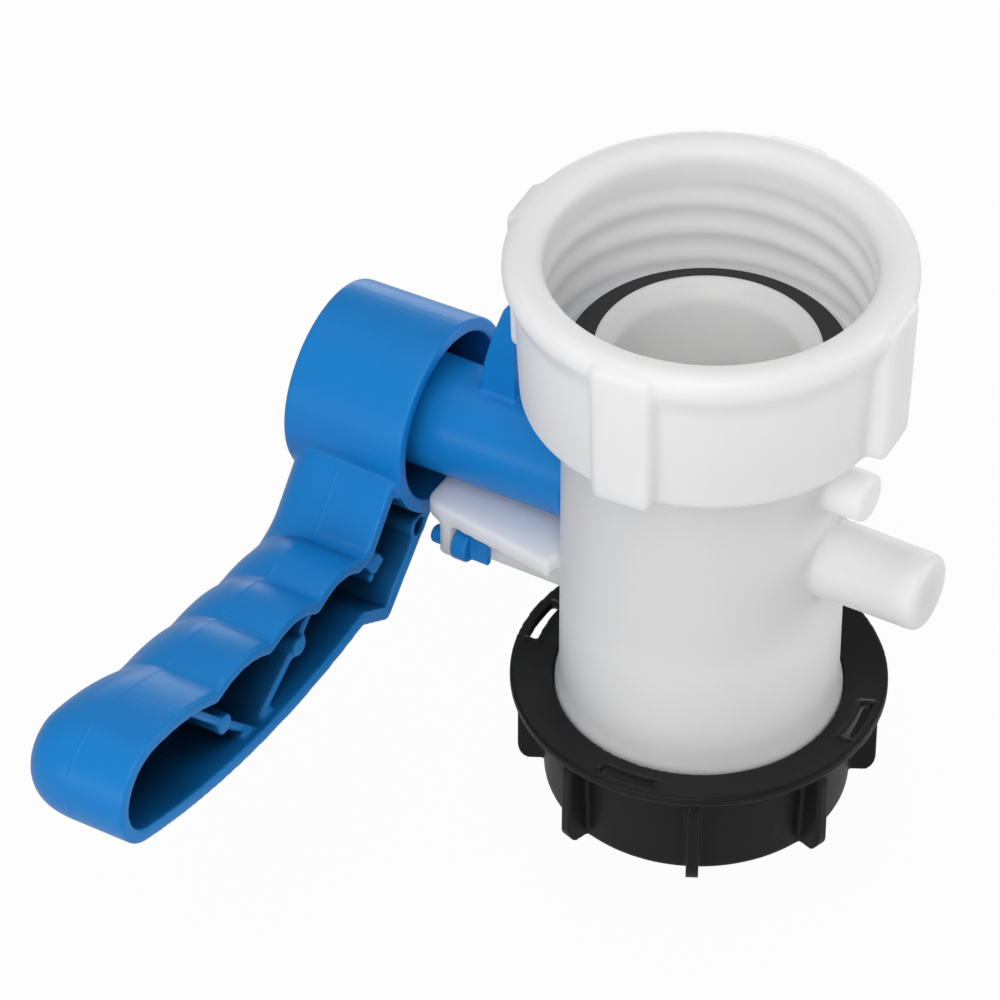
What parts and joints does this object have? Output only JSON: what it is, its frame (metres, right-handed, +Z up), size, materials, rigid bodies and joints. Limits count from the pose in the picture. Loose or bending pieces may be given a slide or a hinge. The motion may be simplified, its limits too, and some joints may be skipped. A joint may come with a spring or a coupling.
{
  "type": "tank outlet ball valve",
  "caption": "Plastic quarter-turn outlet ball valve for a bulk liquid tank, with union nut, gasket, hand lever, lock screw and screw-on dust cap.",
  "frame": {"origin": "centre of the dust cap's flat foot, on the flow axis", "axes": "+Z up the flow axis to the inlet and its union nut; -X along the stem to the handle; the closed handle points along -Y"},
  "size_m": [0.1421, 0.1665, 0.1372],
  "materials": {
    "valve_body": "satin moulded",
    "union_nut": "satin moulded",
    "inlet_end": "satin moulded",
    "inlet_gasket": "matt",
    "dust_cap": "satin moulded",
    "cap_liner": "foamed",
    "bonnet": "satin moulded",
    "handle": "satin moulded",
    "lock_screw": "satin moulded",
    "ball": "polished",
    "inlet_seat": "smooth",
    "outlet_seat": "smooth",
    "inlet_seat_ring": "matt",
    "outlet_seat_ring": "matt",
    "stem": "smooth",
    "stem_ring_inner": "matt",
    "stem_ring_outer": "matt",
    "stem_washer": "smooth",
    "hub_washer": "plain",
    "handle_screw": "plain"
  },
  "bodies": {
    "valve": {"valve_body": "valve_body", "inlet_end": "inlet_end", "inlet_gasket": "inlet_gasket", "inlet_seat": "inlet_seat", "outlet_seat": "outlet_seat", "inlet_seat_ring": "inlet_seat_ring", "outlet_seat_ring": "outlet_seat_ring", "bonnet": "bonnet"},
    "turning_set": {"handle": "handle", "stem": "stem", "stem_ring_inner": "stem_ring_inner", "stem_ring_outer": "stem_ring_outer", "stem_washer": "stem_washer", "ball": "ball", "hub_washer": "hub_washer", "handle_screw": "handle_screw"},
    "nut": {"union_nut": "union_nut"},
    "cap_carrier": {"cap_liner": "cap_liner"},
    "cap": {"dust_cap": "dust_cap"},
    "lock": {"lock_screw": "lock_screw"}
  },
  "joints": [
    {"name": "handle_turn", "type": "hinge", "parent": "valve", "child": "turning_set", "pos_m": [0, 0, 0.0704], "axis": [1, 0, 0], "range_deg": [0, 90]},
    {"name": "nut_spin", "type": "hinge", "parent": "valve", "child": "nut", "pos_m": [0, 0, 0.118], "axis": [0, 0, 1], "continuous": true},
    {"name": "cap_travel", "type": "slide", "parent": "valve", "child": "cap_carrier", "axis": [0, 0, -1], "range_m": [0, 0.0241]},
    {"name": "cap_turn", "type": "hinge", "parent": "cap_carrier", "child": "cap", "pos_m": [0, 0, 0.0134], "axis": [0, 0, -1], "range_deg": [0, 1440]},
    {"name": "lock_turn", "type": "hinge", "parent": "valve", "child": "lock", "pos_m": [-0.05, -0.011, 0.0478], "axis": [1, 0, 0], "continuous": true}
  ],
  "couplings": [
    {"joint": "cap_travel", "follows": "cap_turn", "m_per_rad": 0.00095493}
  ]
}
